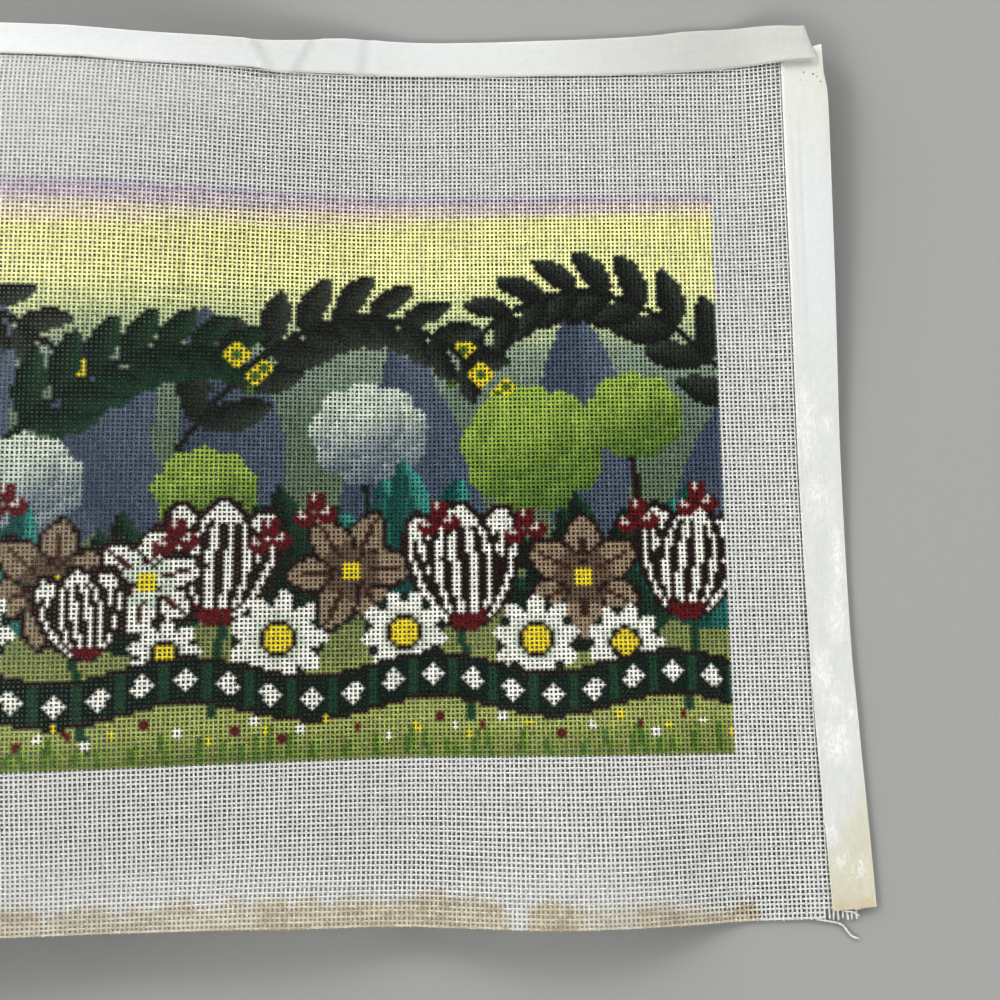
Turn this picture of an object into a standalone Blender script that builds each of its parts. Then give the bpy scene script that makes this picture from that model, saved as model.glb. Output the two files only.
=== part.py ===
"""A needlepoint canvas panel: one sheet of 18-mesh mono canvas with its picture field painted in the
middle, white cloth tape folded over the top and both sides, and a raw bottom edge with a loose thread.

It lies face up on a flat surface, as a panel does that was stored rolled: the left half arches up in one
broad ridge, the bottom edge waves and the two top corners lift. X runs to the right along the threads,
Y towards the top of the picture, Z up. Lengths are millimetres until the mesh is made, then metres.
"""

import math
from collections import namedtuple

import bmesh
import bpy
import numpy as np

MM = 0.001
INCH = 25.4

# The canvas, between its cut edges
THREAD_PITCH = INCH / 18
CANVAS_WIDE = 272.6 * THREAD_PITCH
CANVAS_HIGH = 207 * THREAD_PITCH
HALF_WIDE = CANVAS_WIDE / 2
HALF_HIGH = CANVAS_HIGH / 2

# Every layer is a 1 mm sheet, and neighbours stay 0.3 mm apart
SHEET = 1.0
GAP = 0.3
LAYER = SHEET + GAP

# The tape is 1 inch wide and folded over the edge
TAPE_WIDE = INCH
FOLD_CLEAR = GAP
STANDS_OUT = FOLD_CLEAR + LAYER + SHEET / 2
FOLD_STEPS = 6

# The middle of the whole panel's base, in the cloth's own frame
MIDDLE_X = -0.14
MIDDLE_Y = -2.49

# A point of an outline: how far along the edge, and where the edge lies across it
At = namedtuple("At", "along across")

TOP_OUTER = [
    At(-194, 143.6), At(-120, 143.2), At(-42, 142.9), At(-2, 143.0), At(14, 144.5), At(30, 146.5),
    At(65, 145.9), At(100, 146.4), At(131, 147.6), At(152, 149.4), At(169, 149.8), At(187, 147.8),
]
TOP_INNER = [
    At(-194, 131.6), At(-120, 131.0), At(-40, 130.7), At(-18, 131.6), At(-2, 132.2), At(5, 131.5),
    At(14, 132.4), At(31, 133.2), At(82, 133.0), At(117, 132.9), At(151, 134.0), At(168, 135.1), At(190, 134.2),
]
RIGHT_OUTER = [
    At(-146, 194.2), At(-110, 193.9), At(-49, 194.0), At(-17, 193.6), At(16, 193.0), At(50, 192.6),
    At(85, 192.9), At(116, 193.5), At(123, 193.4), At(131, 192.5), At(146, 192.3),
]
RIGHT_INNER = [
    At(-146, 180.7), At(-97, 179.0), At(-65, 177.9), At(-33, 177.1), At(0, 176.8), At(34, 177.2),
    At(103, 178.4), At(134, 178.9),
]
BOTTOM_EDGE = [
    At(-194, -146.0), At(-100, -146.0), At(-35, -146.3), At(-13, -146.8), At(17, -147.0), At(47, -147.4),
    At(77, -148.9), At(95, -150.0), At(108, -150.2), At(123, -149.1), At(139, -148.7), At(158, -148.0),
    At(180, -148.0), At(194, -146.9),
]
LEFT_FLAP = 14.0

# Where the tapes end: the top tape runs over both side tapes, and its right end is cut at an angle
TOP_LEFT_END = -191.8
TOP_RIGHT_END = 188.6
TOP_RIGHT_SLANT = -0.26
SIDE_TOP_END = 138.6
SIDE_TOP_SLANT = 0.25
SIDE_BOTTOM_END = -142.8
SIDE_BOTTOM_SLANT = 0.16

# The free edge of the top tape's front flap stands a little open at two places
FLAP_OPENS = [At(-14, 0.0), At(2, 0.7), At(14, 0.0), At(170, 0.0), At(184, 1.2), At(190, 0.8)]

# The canvas corner under the end of the top tape is trimmed off
CORNER_TRIM = 7.5

# Folds: hills with a crest and a foot to either side. One with an edge runs in from it and dies out over
# its reach; one with none runs right through, higher towards the top by its tilt and lower at both ends.
Fold = namedtuple("Fold", "height crest left right edge reach tilt sag")
FOLDS = [
    Fold(height=21.0, crest=-95.0, left=86.0, right=154.0, edge=None, reach=None, tilt=0.15, sag=0.10),
    Fold(height=8.0, crest=101.7, left=56.2, right=56.2, edge="bottom", reach=100.0, tilt=0.0, sag=0.0),
    Fold(height=5.0, crest=23.1, left=90.0, right=90.0, edge="bottom", reach=23.1, tilt=0.0, sag=0.0),
]

# Stretches of an edge that lift, or droop where the height is negative: full from start to end, each side
# with its own run-out, and None where the stretch goes on to the corner.
Lift = namedtuple("Lift", "height edge start before end after reach")
LIFTS = [
    Lift(height=5.7, edge="top", start=194.0, before=35.0, end=None, after=None, reach=200.0),
    Lift(height=2.4, edge="top", start=None, before=None, end=-60.0, after=72.4, reach=200.0),
    Lift(height=-4.0, edge="top", start=-95.0, before=86.0, end=-45.0, after=45.0, reach=29.2),
    Lift(height=-4.3, edge="bottom", start=-95.0, before=86.0, end=-45.0, after=69.0, reach=60.0),
]

# Grid lines: close together near the taped edges, even between
EDGE_LINES = [0.0, 5.0, 10.0, 15.0, 19.0, 23.0]
COLUMN_PITCH = 10.2
ROW_PITCH = 10.5
FULL_LIFT = 15.0
LIFT_RAMP = 8.0
EDGE_BLEND = 60.0

# One weft has slipped out of the weave at the bottom right corner and lies on the surface
Bend = namedtuple("Bend", "x y")
THREAD_THICK = 0.8
THREAD_ROUTE = [
    Bend(176.0, -149.0), Bend(179.0, -149.3), Bend(182.2, -150.1), Bend(184.3, -151.4),
    Bend(185.8, -153.1), Bend(187.4, -154.0), Bend(189.0, -154.4),
]
THREAD_STEPS = 14

Finish = namedtuple("Finish", "color roughness")
CANVAS_FINISH = Finish(color=(0.80, 0.80, 0.76), roughness=0.75)
TAPE_FINISH = Finish(color=(0.86, 0.86, 0.83), roughness=0.55)


def bump(t):
    """A smooth hill: 1 at t = 0, easing to 0 at t = 1 and at t = -1."""
    return np.where(np.abs(t) < 1, (1 - t * t) ** 2, 0.0)


def fade(t):
    """1 up to t = 0, easing down to 0 at t = 1."""
    t = np.clip(t, 0, 1)
    return (1 - t) ** 2 * (1 + 2 * t)


def along(rows, position):
    """The outline's place at a position along it, on a smooth curve that never swings past its points."""
    at = np.array([row.along for row in rows], float)
    across = np.array([row.across for row in rows], float)
    secant = np.diff(across) / np.diff(at)
    before, after = secant[:-1], secant[1:]
    same_way = before * after > 0
    total = np.where(same_way, before + after, 1.0)
    inner = np.where(same_way, 2 * before * after / total, 0.0)
    slope = np.concatenate([secant[:1], inner, secant[-1:]])
    position = np.clip(position, at[0], at[-1])
    i = np.clip(np.searchsorted(at, position) - 1, 0, len(at) - 2)
    span = at[i + 1] - at[i]
    t = (position - at[i]) / span
    blend = t * t * (3 - 2 * t)
    start = slope[i] * span * t * (1 - t) ** 2
    end = slope[i + 1] * span * t * t * (1 - t)
    return across[i] + (across[i + 1] - across[i]) * blend + start - end


def in_from(edge, y):
    """How far a point lies in from the bottom or the top edge."""
    return HALF_HIGH - y if edge == "top" else HALF_HIGH + y


def folds_height(x, y):
    """How high the folds and the lifted edges hold the cloth off the surface."""
    height = np.zeros_like(x)
    for fold in FOLDS:
        width = np.where(x > fold.crest, fold.right, fold.left)
        hill = fold.height * bump((x - fold.crest) / width)
        if fold.edge is None:
            upward = np.clip(y / HALF_HIGH, -1, 1)
            hill = hill * (1 + fold.tilt * upward - fold.sag * upward**2)
        else:
            hill = hill * fade(in_from(fold.edge, y) / fold.reach)
        height = height + hill
    for lift in LIFTS:
        stretch = lift.height * fade(in_from(lift.edge, y) / lift.reach)
        if lift.start is not None:
            stretch = stretch * fade((lift.start - x) / lift.before)
        if lift.end is not None:
            stretch = stretch * fade((x - lift.end) / lift.after)
        height = height + stretch
    return height


def flaps_lift(u, v):
    """The canvas rides up over the tape's back flap along the top and both sides."""
    open_side = 1 - fade((HALF_WIDE - FULL_LIFT - np.abs(u)) / LIFT_RAMP)
    open_top = 1 - fade((HALF_HIGH - FULL_LIFT - v) / LIFT_RAMP)
    return LAYER * (1 - open_side * open_top)


def canvas_middle(u, v):
    """The canvas's middle surface, from its flat place (u, v): the edges are drawn in or let out."""
    near_right = fade((HALF_WIDE - u) / EDGE_BLEND)
    near_top = fade((HALF_HIGH - v) / EDGE_BLEND)
    near_bottom = fade((v + HALF_HIGH) / EDGE_BLEND)
    x = u + near_right * (along(RIGHT_OUTER, v) - STANDS_OUT - HALF_WIDE)
    y = v + near_top * (along(TOP_OUTER, u) - STANDS_OUT - HALF_HIGH)
    y = y + near_bottom * (along(BOTTOM_EDGE, u) + HALF_HIGH)
    z = SHEET / 2 + folds_height(x, y) + flaps_lift(u, v)
    return np.stack([x, y, z], axis=-1)


def off_canvas(u, v, offset):
    """A point held off the canvas's middle surface along its normal."""
    step = 0.5
    across = canvas_middle(u + step, v) - canvas_middle(u - step, v)
    upward = canvas_middle(u, v + step) - canvas_middle(u, v - step)
    normal = np.cross(across, upward)
    normal = normal / np.linalg.norm(normal, axis=-1, keepdims=True)
    return canvas_middle(u, v) + normal * np.asarray(offset)[..., None]


def grid_lines(half, pitch, close_low=True):
    """Grid lines from -half to half, close together near an edge that carries tape."""
    close = half - np.array(EDGE_LINES[::-1])
    low = -close[::-1] if close_low else np.array([-half])
    count = round((close[0] - low[-1]) / pitch)
    between = np.linspace(low[-1], close[0], count + 1)[1:-1]
    return np.concatenate([low, between, close])


def material(name, finish):
    """A plain coat in the part's own colour."""
    coat = bpy.data.materials.new(name)
    coat.use_nodes = True
    shader = coat.node_tree.nodes["Principled BSDF"]
    shader.inputs["Base Color"].default_value = (*finish.color, 1.0)
    shader.inputs["Roughness"].default_value = finish.roughness
    shader.inputs["Metallic"].default_value = 0.0
    return coat


def sheet_object(name, points, finish, collection):
    """A grid of points as an open surface, thickened to a sheet by Solidify."""
    columns, rows = points.shape[:2]
    mesh = bpy.data.meshes.new(name)
    bm = bmesh.new()
    bmesh.ops.create_grid(bm, x_segments=columns - 1, y_segments=rows - 1, size=1.0)
    for vert in bm.verts:
        column = round((vert.co.x + 1) / 2 * (columns - 1))
        row = round((vert.co.y + 1) / 2 * (rows - 1))
        vert.co = points[column, row] * MM
    bm.to_mesh(mesh)
    bm.free()
    mesh.shade_smooth()
    sheet = bpy.data.objects.new(name, mesh)
    collection.objects.link(sheet)
    thicken = sheet.modifiers.new("thickness", "SOLIDIFY")
    thicken.thickness = SHEET * MM
    thicken.offset = 0.0
    thicken.use_even_offset = True
    mesh.materials.append(material(name, finish))
    return sheet


def make_canvas(collection):
    """The canvas itself, its top right corner trimmed under the tape."""
    columns = grid_lines(HALF_WIDE, COLUMN_PITCH)
    rows = grid_lines(HALF_HIGH, ROW_PITCH, close_low=False)
    u, v = np.meshgrid(columns, rows, indexing="ij")
    squeeze_from = HALF_WIDE - EDGE_LINES[-1]
    trim = np.clip(v - (HALF_HIGH - CORNER_TRIM), 0, None)
    share = np.clip((u - squeeze_from) / EDGE_LINES[-1], 0, 1)
    return sheet_object("canvas", canvas_middle(u - trim * share, v), CANVAS_FINISH, collection)


def folded_section(front, back, radius):
    """The tape's section, from the front flap's free edge round the fold to the back flap's.

    Each step is (distance in from the fold line, offset from the canvas). It is worked out for every
    station along the edge at once: front and back are the flaps' widths there.
    """
    flap_lines = np.array(EDGE_LINES[1:3])
    steps = [(front, radius)]
    steps += [(np.minimum(line, front - 1), radius) for line in flap_lines[::-1]]
    for k in range(FOLD_STEPS + 1):
        angle = math.pi * k / FOLD_STEPS
        steps.append((-radius * math.sin(angle), radius * math.cos(angle)))
    steps += [(np.minimum(line, back - 1), -radius) for line in flap_lines if line < back.min()]
    steps.append((back, -radius))
    inward = np.stack([step[0] + 0 * front for step in steps], axis=1)
    offset = np.stack([step[1] + 0 * front for step in steps], axis=1)
    return inward, offset


def make_top_tape(collection):
    """The tape over the top edge. It passes outside both side tapes at the corners."""
    lines = grid_lines(HALF_WIDE, COLUMN_PITCH)
    inside = lines[(lines > TOP_LEFT_END + 1) & (lines < TOP_RIGHT_END - 1)]
    stations = np.concatenate([[TOP_LEFT_END], inside, [TOP_RIGHT_END]])
    over_sides = fade((HALF_WIDE - FULL_LIFT - np.abs(stations)) / LIFT_RAMP)
    radius = LAYER * (1 + over_sides)
    front = along(TOP_OUTER, stations) - STANDS_OUT + FOLD_CLEAR - along(TOP_INNER, stations)
    back = TAPE_WIDE - 2 * (STANDS_OUT - FOLD_CLEAR) - front
    inward, offset = folded_section(front, back, radius)
    offset[:, 0] += along(FLAP_OPENS, stations)
    u = np.repeat(stations[:, None], inward.shape[1], axis=1)
    v = HALF_HIGH + FOLD_CLEAR - inward - LAYER * over_sides[:, None]
    near_end = np.clip((u - (TOP_RIGHT_END - EDGE_LINES[2])) / EDGE_LINES[2], 0, 1)
    flap_middle = HALF_HIGH - front[-1] / 2
    u = u + near_end * TOP_RIGHT_SLANT * (v - flap_middle)
    return sheet_object("tape_top", off_canvas(u, v, offset), TAPE_FINISH, collection)


def make_side_tape(name, side, front_width, collection):
    """A side tape, on the right for side 1 and on the left for side -1. Its top end lies under the top tape."""
    lines = grid_lines(HALF_HIGH, ROW_PITCH, close_low=False)
    inside = lines[(lines > SIDE_BOTTOM_END + 2) & (lines < SIDE_TOP_END - 2)]
    stations = np.concatenate([[SIDE_BOTTOM_END], inside, [SIDE_TOP_END]])
    front = front_width(stations)
    back = TAPE_WIDE - 2 * (STANDS_OUT - FOLD_CLEAR) - front
    inward, offset = folded_section(front, back, LAYER + 0 * stations)
    u = side * (HALF_WIDE + FOLD_CLEAR - inward)
    v = np.repeat(stations[:, None], inward.shape[1], axis=1)
    outward = side * u - (HALF_WIDE - front.mean() / 2)
    near_bottom = np.clip((SIDE_BOTTOM_END + EDGE_LINES[2] - v) / EDGE_LINES[2], 0, 1)
    near_top = np.clip((v - (SIDE_TOP_END - EDGE_LINES[1])) / EDGE_LINES[1], 0, 1)
    v = v + outward * (near_bottom * SIDE_BOTTOM_SLANT + near_top * SIDE_TOP_SLANT)
    return sheet_object(name, off_canvas(u, v, offset), TAPE_FINISH, collection)


def right_flap(stations):
    """The right tape's front flap, from its two outlines."""
    return along(RIGHT_OUTER, stations) - STANDS_OUT + FOLD_CLEAR - along(RIGHT_INNER, stations)


def left_flap(stations):
    """The left tape's front flap, even all along."""
    return LEFT_FLAP - STANDS_OUT + FOLD_CLEAR + 0 * stations


def make_loose_thread(collection):
    """The slipped weft, lying in a loose S beside the raw edge."""
    route = [At(k, bend.x) for k, bend in enumerate(THREAD_ROUTE)]
    aside = [At(k, bend.y) for k, bend in enumerate(THREAD_ROUTE)]
    steps = np.linspace(0, len(THREAD_ROUTE) - 1, THREAD_STEPS)
    curve = bpy.data.curves.new("loose_thread", "CURVE")
    curve.dimensions = "3D"
    curve.bevel_depth = THREAD_THICK / 2 * MM
    curve.bevel_resolution = 2
    curve.use_fill_caps = True
    spline = curve.splines.new("POLY")
    spline.points.add(THREAD_STEPS - 1)
    height = THREAD_THICK / 2 + 0.05
    for point, step in zip(spline.points, steps):
        point.co = (along(route, step) * MM, along(aside, step) * MM, height * MM, 1.0)
    curve.materials.append(material("loose_thread", CANVAS_FINISH))
    thread = bpy.data.objects.new("loose_thread", curve)
    collection.objects.link(thread)
    return thread


for old in list(bpy.data.objects):
    bpy.data.objects.remove(old)

panel_parts = bpy.data.collections.new("needlepoint_canvas_panel")
bpy.context.scene.collection.children.link(panel_parts)
pieces = [
    make_canvas(panel_parts),
    make_top_tape(panel_parts),
    make_side_tape("tape_right", 1, right_flap, panel_parts),
    make_side_tape("tape_left", -1, left_flap, panel_parts),
    make_loose_thread(panel_parts),
]
base = bpy.data.objects.new("panel_base", None)
base.location = (-MIDDLE_X * MM, -MIDDLE_Y * MM, 0.0)
panel_parts.objects.link(base)
for piece in pieces:
    piece.parent = base
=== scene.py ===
import math
from collections import namedtuple

import bpy
import numpy as np
from mathutils import Matrix


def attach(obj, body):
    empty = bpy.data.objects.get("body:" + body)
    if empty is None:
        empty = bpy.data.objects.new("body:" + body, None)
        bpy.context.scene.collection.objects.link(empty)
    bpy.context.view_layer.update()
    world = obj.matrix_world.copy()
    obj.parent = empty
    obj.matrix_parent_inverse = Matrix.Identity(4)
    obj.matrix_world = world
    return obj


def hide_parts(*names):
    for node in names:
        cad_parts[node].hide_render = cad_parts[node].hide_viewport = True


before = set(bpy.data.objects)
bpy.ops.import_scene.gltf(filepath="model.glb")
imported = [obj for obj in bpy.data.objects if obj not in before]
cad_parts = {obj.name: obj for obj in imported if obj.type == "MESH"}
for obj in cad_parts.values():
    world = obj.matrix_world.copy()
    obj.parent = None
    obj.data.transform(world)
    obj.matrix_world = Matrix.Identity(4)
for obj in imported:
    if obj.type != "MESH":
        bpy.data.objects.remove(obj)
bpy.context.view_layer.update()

# ----------------------------------------------------------------------
# The canvas: stiff 18-mesh mono canvas of sized cotton, woven one over one, cut about 15 inches wide. Its
# picture field, 216 by 132 threads, is painted by hand thread by thread. It was stored rolled, so it lies
# in one broad ridge with lifted top corners. It is made here in six strips of whole warps.
# ----------------------------------------------------------------------
# Lengths are millimetres in the cloth's own frame, and MIDDLE is the panel's middle there. Warps are
# numbered to the right and wefts downwards, and ZERO_WARP and ZERO_WEFT are the numbers at the frame's zero.
MM = 0.001
PITCH = 25.4 / 18
MIDDLE_X, MIDDLE_Y = -0.14, -2.49
HALF_WIDE, HALF_HIGH = 192.33, 146.05
FIRST_WARP, WARPS = -166.5, 268
FIRST_WEFT, WEFTS = -17.5, 202
ZERO_WARP, ZERO_WEFT = -33.25, 80.45
THREAD_HALF_WIDE, THREAD_HALF_THICK, CRIMP = 0.345, 0.25, 0.09
CLOTH_MIDDLE = 0.53
SIDE_RIDE, TOP_RIDE, RIDE_FROM, RIDE_RAMP = 0.2, 0.25, 23.0, 8.0
rng = np.random.default_rng(18)


def bump(t):
    """A smooth hill: 1 at t = 0, easing to 0 at t = 1 and at t = -1."""
    return np.where(np.abs(t) < 1, (1 - t * t) ** 2, 0.0)


def fade(t):
    """1 up to t = 0, easing down to 0 at t = 1."""
    t = np.clip(t, 0, 1)
    return (1 - t) ** 2 * (1 + 2 * t)


# Folds and lifted edges, as in the solids: a hill with a crest and a foot to either side, which may fade
# inwards from the bottom edge, or a stretch of an edge that lifts, full from start to end or FAR beyond
FAR = math.inf
Fold = namedtuple("Fold", "height crest left right reach tilt sag")
FOLDS = [
    Fold(21.0, -95.0, 86.0, 154.0, None, 0.15, 0.10),
    Fold(8.0, 101.7, 56.2, 56.2, 100.0, 0.0, 0.0),
    Fold(5.0, 23.1, 90.0, 90.0, 23.1, 0.0, 0.0),
]
Lift = namedtuple("Lift", "height edge start before end after reach")
LIFTS = [
    Lift(5.7, "top", 194.0, 35.0, FAR, 1.0, 200.0),
    Lift(2.4, "top", -FAR, 1.0, -60.0, 72.4, 200.0),
    Lift(-4.0, "top", -95.0, 86.0, -45.0, 45.0, 29.2),
    Lift(-4.3, "bottom", -95.0, 86.0, -45.0, 69.0, 60.0),
]


def cloth_height(x, y):
    """How high the middle of the cloth lies, with its folds and where it rides over the tape's back flap."""
    height = np.full(np.broadcast(x, y).shape, CLOTH_MIDDLE)
    for fold in FOLDS:
        hill = fold.height * bump((x - fold.crest) / np.where(x > fold.crest, fold.right, fold.left))
        if fold.reach is None:
            upward = np.clip(y / HALF_HIGH, -1, 1)
            hill = hill * (1 + fold.tilt * upward - fold.sag * upward**2)
        else:
            hill = hill * fade((HALF_HIGH + y) / fold.reach)
        height = height + hill
    for lift in LIFTS:
        inward = HALF_HIGH - y if lift.edge == "top" else HALF_HIGH + y
        stretch = fade((lift.start - x) / lift.before) * fade((x - lift.end) / lift.after)
        height = height + lift.height * stretch * fade(inward / lift.reach)
    by_side = fade((HALF_WIDE - RIDE_FROM + RIDE_RAMP - np.abs(x)) / RIDE_RAMP)
    by_top = fade((HALF_HIGH - RIDE_FROM + RIDE_RAMP - y) / RIDE_RAMP)
    return height + SIDE_RIDE * by_side + TOP_RIDE * by_top


# Places where the weave is drawn out of square: by how much, round which x, and how far in from the edge
Drawn = namedtuple("Drawn", "by x wide reach")
ASIDE, DROOP, PUCKER = Drawn(1.05, 123.3, 46, 160), Drawn(-2.52, 114.2, 120, 53.3), Drawn(2.0, 52, 40, 30)
LEAN, LEAN_BEND = 0.67, 0.32
BOW, BOW_MIDDLE, BOW_WIDE, BOW_LEFT = 0.71, 60, 100, -1.2


def woven_place(warp, weft):
    """Where two threads cross, from their numbers: the weave is square but for a few drawn places."""
    x = (warp - ZERO_WARP) * PITCH
    y = (ZERO_WEFT - weft) * PITCH
    from_bottom, from_top, up = HALF_HIGH + y, HALF_HIGH - y, y / HALF_HIGH
    bow = BOW * np.clip((x - BOW_MIDDLE) / BOW_WIDE, BOW_LEFT, None) ** 2
    aside = ASIDE.by * bump((x - ASIDE.x) / ASIDE.wide) * fade(from_bottom / ASIDE.reach)
    droop = DROOP.by * bump((x - DROOP.x) / DROOP.wide) * fade(from_bottom / DROOP.reach)
    pucker = PUCKER.by * bump((x - PUCKER.x) / PUCKER.wide) * fade(from_top / PUCKER.reach)
    return x + aside + LEAN * up + LEAN_BEND * up**2, y + droop - bow + pucker


def wander(shape, axis, reach):
    """Slow even noise along one axis, with a spread of 1."""
    kernel = np.hanning(reach + 2)
    slow = np.apply_along_axis(np.convolve, axis, rng.normal(size=shape), kernel, mode="same")
    return slow / slow.std()


# The crossings. Each thread strays a little from its place, in shares of the pitch.
STRAY, STRAY_REACH, JITTER = 0.040, 24, 0.010
GRID = (WARPS, WEFTS)
warp_numbers, weft_numbers = np.meshgrid(
    FIRST_WARP + np.arange(WARPS), FIRST_WEFT + np.arange(WEFTS), indexing="ij"
)
warp_at = warp_numbers + STRAY * wander(GRID, 1, STRAY_REACH) + rng.normal(0, JITTER, GRID)
weft_at = weft_numbers + STRAY * wander(GRID, 0, STRAY_REACH) + rng.normal(0, JITTER, GRID)
cross_x, cross_y = woven_place(warp_at, weft_at)
cross_z = cloth_height(cross_x, cross_y)


def unit(vectors):
    """The same directions at length 1."""
    return vectors / np.linalg.norm(vectors, axis=-1, keepdims=True)


def cloth_ways(x, y):
    """The cloth's directions at a place: along its wefts, along its warps, and straight up off it."""
    slope_x = cloth_height(x + 0.5, y) - cloth_height(x - 0.5, y)
    slope_y = cloth_height(x, y + 0.5) - cloth_height(x, y - 0.5)
    none, one = np.zeros_like(x), np.ones_like(x)
    ways = ([one, none, slope_x], [none, one, slope_y], [-slope_x, -slope_y, one])
    return [unit(np.stack(way, -1)) for way in ways]


along_weft, along_warp, cloth_up = cloth_ways(cross_x, cross_y)
over = np.where((np.arange(WARPS)[:, None] + np.arange(WEFTS)) % 2 == 0, 1.0, -1.0)
cross_place = np.stack([cross_x, cross_y, cross_z], -1)


# The paint. Colours are written as the eye sees them, and the design is laid out in thread numbers from
# the field's top left corner.
def seen(red, green, blue):
    """A colour as the eye sees it, made linear."""
    return np.array([((c + 0.055) / 1.055) ** 2.4 for c in (red, green, blue)])


BARE = seen(0.885, 0.885, 0.875)
FIELD_WARP, FIELD_WEFT, FIELD_WIDE, FIELD_HIGH = -141, 17, 216, 132
OMBRE = [
    (0, seen(0.80, 0.77, 0.83)), (4, seen(0.875, 0.835, 0.84)), (8, seen(0.94, 0.90, 0.81)),
    (12, seen(0.95, 0.94, 0.73)), (22, seen(0.96, 0.96, 0.75)), (30, seen(0.84, 0.87, 0.70)),
    (40, seen(0.62, 0.68, 0.62)), (58, seen(0.50, 0.57, 0.50)), (80, seen(0.50, 0.56, 0.46)),
    (100, seen(0.56, 0.60, 0.42)), (116, seen(0.66, 0.69, 0.46)), (124, seen(0.72, 0.75, 0.50)),
    (132, seen(0.55, 0.60, 0.36)),
]
SLATE, SLATE_PALE = seen(0.38, 0.43, 0.50), seen(0.47, 0.52, 0.58)
CHARCOAL, CHARCOAL_PALE = seen(0.16, 0.18, 0.16), seen(0.33, 0.37, 0.33)
TEAL, TEAL_PALE = seen(0.12, 0.40, 0.37), seen(0.36, 0.68, 0.64)
PINE, PINE_PALE = seen(0.09, 0.20, 0.15), seen(0.19, 0.37, 0.27)
LIME, LIME_DEEP = seen(0.68, 0.76, 0.42), seen(0.42, 0.54, 0.27)
WHITE, CREAM = seen(0.93, 0.93, 0.90), seen(0.84, 0.87, 0.82)
TAUPE, TAUPE_DEEP = seen(0.66, 0.60, 0.52), seen(0.50, 0.43, 0.36)
BROWN, BROWN_PALE = seen(0.22, 0.14, 0.12), seen(0.36, 0.23, 0.18)
MAROON, YELLOW = seen(0.48, 0.13, 0.16), seen(0.90, 0.84, 0.30)

across = warp_numbers - FIELD_WARP
down = weft_numbers - FIELD_WEFT
BARE_SPECKLE, BARE_MOTTLE = 0.012, 0.010
bare_tint = np.tile(BARE, (*GRID, 1))
bare_tint *= 1 + BARE_SPECKLE * rng.normal(size=(*GRID, 1)) + BARE_MOTTLE * wander(GRID, 0, 30)[..., None]

# The airbrushed ground: its rows waver, and the first ones lie closer together towards the right
WAVER, WAVER_REACH = 0.72, 60
CLOSER, CLOSER_FROM, CLOSER_OVER, CLOSER_ROWS, CLOSER_FADE = 0.9, 84, 100, 20, 8
wavering = WAVER * wander(GRID, 0, WAVER_REACH)
rightward = np.clip((across - CLOSER_FROM) / CLOSER_OVER, 0, 1)
row = (down + wavering) * (1 + CLOSER * rightward * np.clip((CLOSER_ROWS - down) / CLOSER_FADE, 0, 1))
rows_down, tones_down = [at for at, _ in OMBRE], np.array([tone for _, tone in OMBRE])
tint = np.stack([np.interp(row, rows_down, channel) for channel in tones_down.T], -1)


def cover(mask, color, amount=1.0):
    """Paints a colour over the crossings in a mask, wholly or thinly."""
    share = np.clip(mask * amount, 0, 1)[..., None]
    tint[...] = tint * (1 - share) + color * share


def petal(x, y, turn, long, wide, blunt, bend=0.0):
    """A petal or leaf from its foot: its mask, the share of its length and of its half width.

    turn is in degrees from straight up, and blunt is 0.5 for an oval and 1 or more for a pointed leaf.
    """
    c, s = math.cos(math.radians(turn)), math.sin(math.radians(turn))
    share = ((across - x) * s - (down - y) * c) / long
    aside = (across - x) * c + (down - y) * s + bend * long * share**2
    inside = (share > 0) & (share < 1)
    half = wide / 2 * (4 * np.clip(share, 0, 1) * (1 - np.clip(share, 0, 1))) ** blunt + 1e-6
    return inside & (np.abs(aside) < half), share, aside / half


def leaf(x, y, turn, long, wide, dark, pale, bend=0.0, blunt=0.8):
    """A leaf in two tones along its rib, airbrushed paler to its tip."""
    mask, share, aside = petal(x, y, turn, long, wide, blunt, bend)
    cover(mask, dark)
    cover(mask * np.clip(0.25 + 0.75 * share, 0, 1) * np.clip(0.5 + aside, 0, 1), pale)


def stem(x, y, turn, long, color, bend=0.0, wide=1.3):
    """A thin stem up from its foot."""
    c, s = math.cos(math.radians(turn)), math.sin(math.radians(turn))
    along = (across - x) * s - (down - y) * c
    aside = (across - x) * c + (down - y) * s + bend * long * (along / long) ** 2
    cover((along > 0) & (along < long) & (np.abs(aside) < wide / 2), color)


def disc(x, y, radius, color, amount=1.0):
    """A round dot."""
    far = np.hypot(across - x, down - y)
    cover(far < radius, color, amount)


# Broad slate leaves at the back
Leaf = namedtuple("Leaf", "x y turn long wide bend")
BACK_LEAVES = [
    Leaf(14, 86, -22, 58, 19, 0.10), Leaf(62, 88, 34, 52, 17, 0.12), Leaf(40, 88, 8, 62, 20, -0.08),
    Leaf(92, 90, -34, 54, 19, -0.10), Leaf(128, 92, 26, 56, 19, 0.12), Leaf(108, 90, -6, 62, 22, 0.08),
    Leaf(160, 92, -28, 58, 20, -0.12), Leaf(204, 96, 28, 58, 19, 0.10), Leaf(184, 94, 2, 66, 22, 0.06),
]
for row in BACK_LEAVES:
    leaf(row.x, row.y, row.turn, row.long, row.wide, SLATE, SLATE_PALE, row.bend)
    stem(row.x, row.y, row.turn, row.long * 0.94, SLATE, row.bend, 1.0)

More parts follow.
